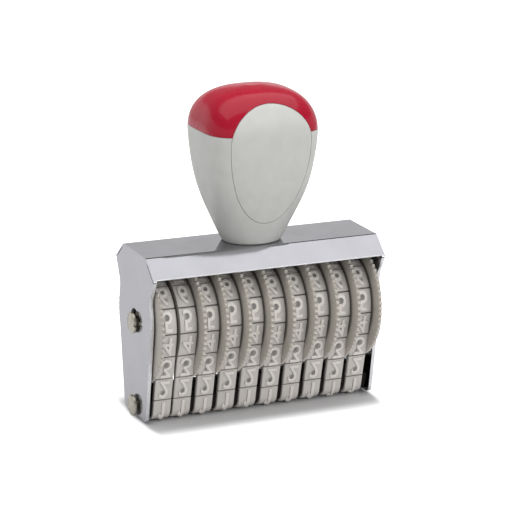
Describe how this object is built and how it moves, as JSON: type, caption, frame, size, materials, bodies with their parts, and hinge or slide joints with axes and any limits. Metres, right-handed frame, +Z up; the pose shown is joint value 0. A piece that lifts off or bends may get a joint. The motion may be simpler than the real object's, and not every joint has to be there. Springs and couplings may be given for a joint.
{
  "type": "numbering machine",
  "caption": "Hand numbering stamp: digit bands on thumb-turned wheels in a chromed sheet frame, with a two-colour grip on top.",
  "frame": {"origin": "on the surface that the print faces rest on, under the middle of the frame", "axes": "+X along the row of bands to the user's right, -Y towards the user, +Z up through the handle"},
  "size_m": [0.0726, 0.0346, 0.0923],
  "materials": {
    "chrome_sheet": "polished chrome plate",
    "bright_steel": "nickel plated",
    "wheel_plastic": "moulded, satin",
    "band_rubber": "smooth grey rubber",
    "bridge_plastic": "moulded, satin",
    "grip_grey": "fine satin",
    "cap_red": "glossy",
    "brass": "turned"
  },
  "bodies": {
    "machine": {"frame": "chrome_sheet", "wheel_axle": "bright_steel", "spacer_disc": "bright_steel", "end_washer": "bright_steel", "bridge": "bridge_plastic", "tie_rod": "bright_steel", "handle_body": "grip_grey", "handle_cap": "cap_red", "front_panel": "grip_grey", "back_panel": "grip_grey", "handle_nut": "brass", "handle_screw": "bright_steel", "screw_washer": "bright_steel", "digit_band_01": "band_rubber", "digit_band_02": "band_rubber", "digit_band_03": "band_rubber", "digit_band_04": "band_rubber", "digit_band_05": "band_rubber", "digit_band_06": "band_rubber", "digit_band_07": "band_rubber", "digit_band_08": "band_rubber", "digit_band_09": "band_rubber", "digit_band_10": "band_rubber"},
    "wheel_01": {"number_wheel_01": "wheel_plastic"},
    "wheel_02": {"number_wheel_02": "wheel_plastic"},
    "wheel_03": {"number_wheel_03": "wheel_plastic"},
    "wheel_04": {"number_wheel_04": "wheel_plastic"},
    "wheel_05": {"number_wheel_05": "wheel_plastic"},
    "wheel_06": {"number_wheel_06": "wheel_plastic"},
    "wheel_07": {"number_wheel_07": "wheel_plastic"},
    "wheel_08": {"number_wheel_08": "wheel_plastic"},
    "wheel_09": {"number_wheel_09": "wheel_plastic"},
    "wheel_10": {"number_wheel_10": "wheel_plastic"}
  },
  "joints": [
    {"name": "wheel_01_turn", "type": "hinge", "parent": "machine", "child": "wheel_01", "pos_m": [-0.03061, 0, 0.0277], "axis": [1, 0, 0], "continuous": true},
    {"name": "wheel_02_turn", "type": "hinge", "parent": "machine", "child": "wheel_02", "pos_m": [-0.02343, 0, 0.0277], "axis": [1, 0, 0], "continuous": true},
    {"name": "wheel_03_turn", "type": "hinge", "parent": "machine", "child": "wheel_03", "pos_m": [-0.01675, 0, 0.0277], "axis": [1, 0, 0], "continuous": true},
    {"name": "wheel_04_turn", "type": "hinge", "parent": "machine", "child": "wheel_04", "pos_m": [-0.01007, 0, 0.0277], "axis": [1, 0, 0], "continuous": true},
    {"name": "wheel_05_turn", "type": "hinge", "parent": "machine", "child": "wheel_05", "pos_m": [-0.00339, 0, 0.0277], "axis": [1, 0, 0], "continuous": true},
    {"name": "wheel_06_turn", "type": "hinge", "parent": "machine", "child": "wheel_06", "pos_m": [0.00329, 0, 0.0277], "axis": [1, 0, 0], "continuous": true},
    {"name": "wheel_07_turn", "type": "hinge", "parent": "machine", "child": "wheel_07", "pos_m": [0.00997, 0, 0.0277], "axis": [1, 0, 0], "continuous": true},
    {"name": "wheel_08_turn", "type": "hinge", "parent": "machine", "child": "wheel_08", "pos_m": [0.01665, 0, 0.0277], "axis": [1, 0, 0], "continuous": true},
    {"name": "wheel_09_turn", "type": "hinge", "parent": "machine", "child": "wheel_09", "pos_m": [0.02333, 0, 0.0277], "axis": [1, 0, 0], "continuous": true},
    {"name": "wheel_10_turn", "type": "hinge", "parent": "machine", "child": "wheel_10", "pos_m": [0.03001, 0, 0.0277], "axis": [1, 0, 0], "continuous": true}
  ]
}
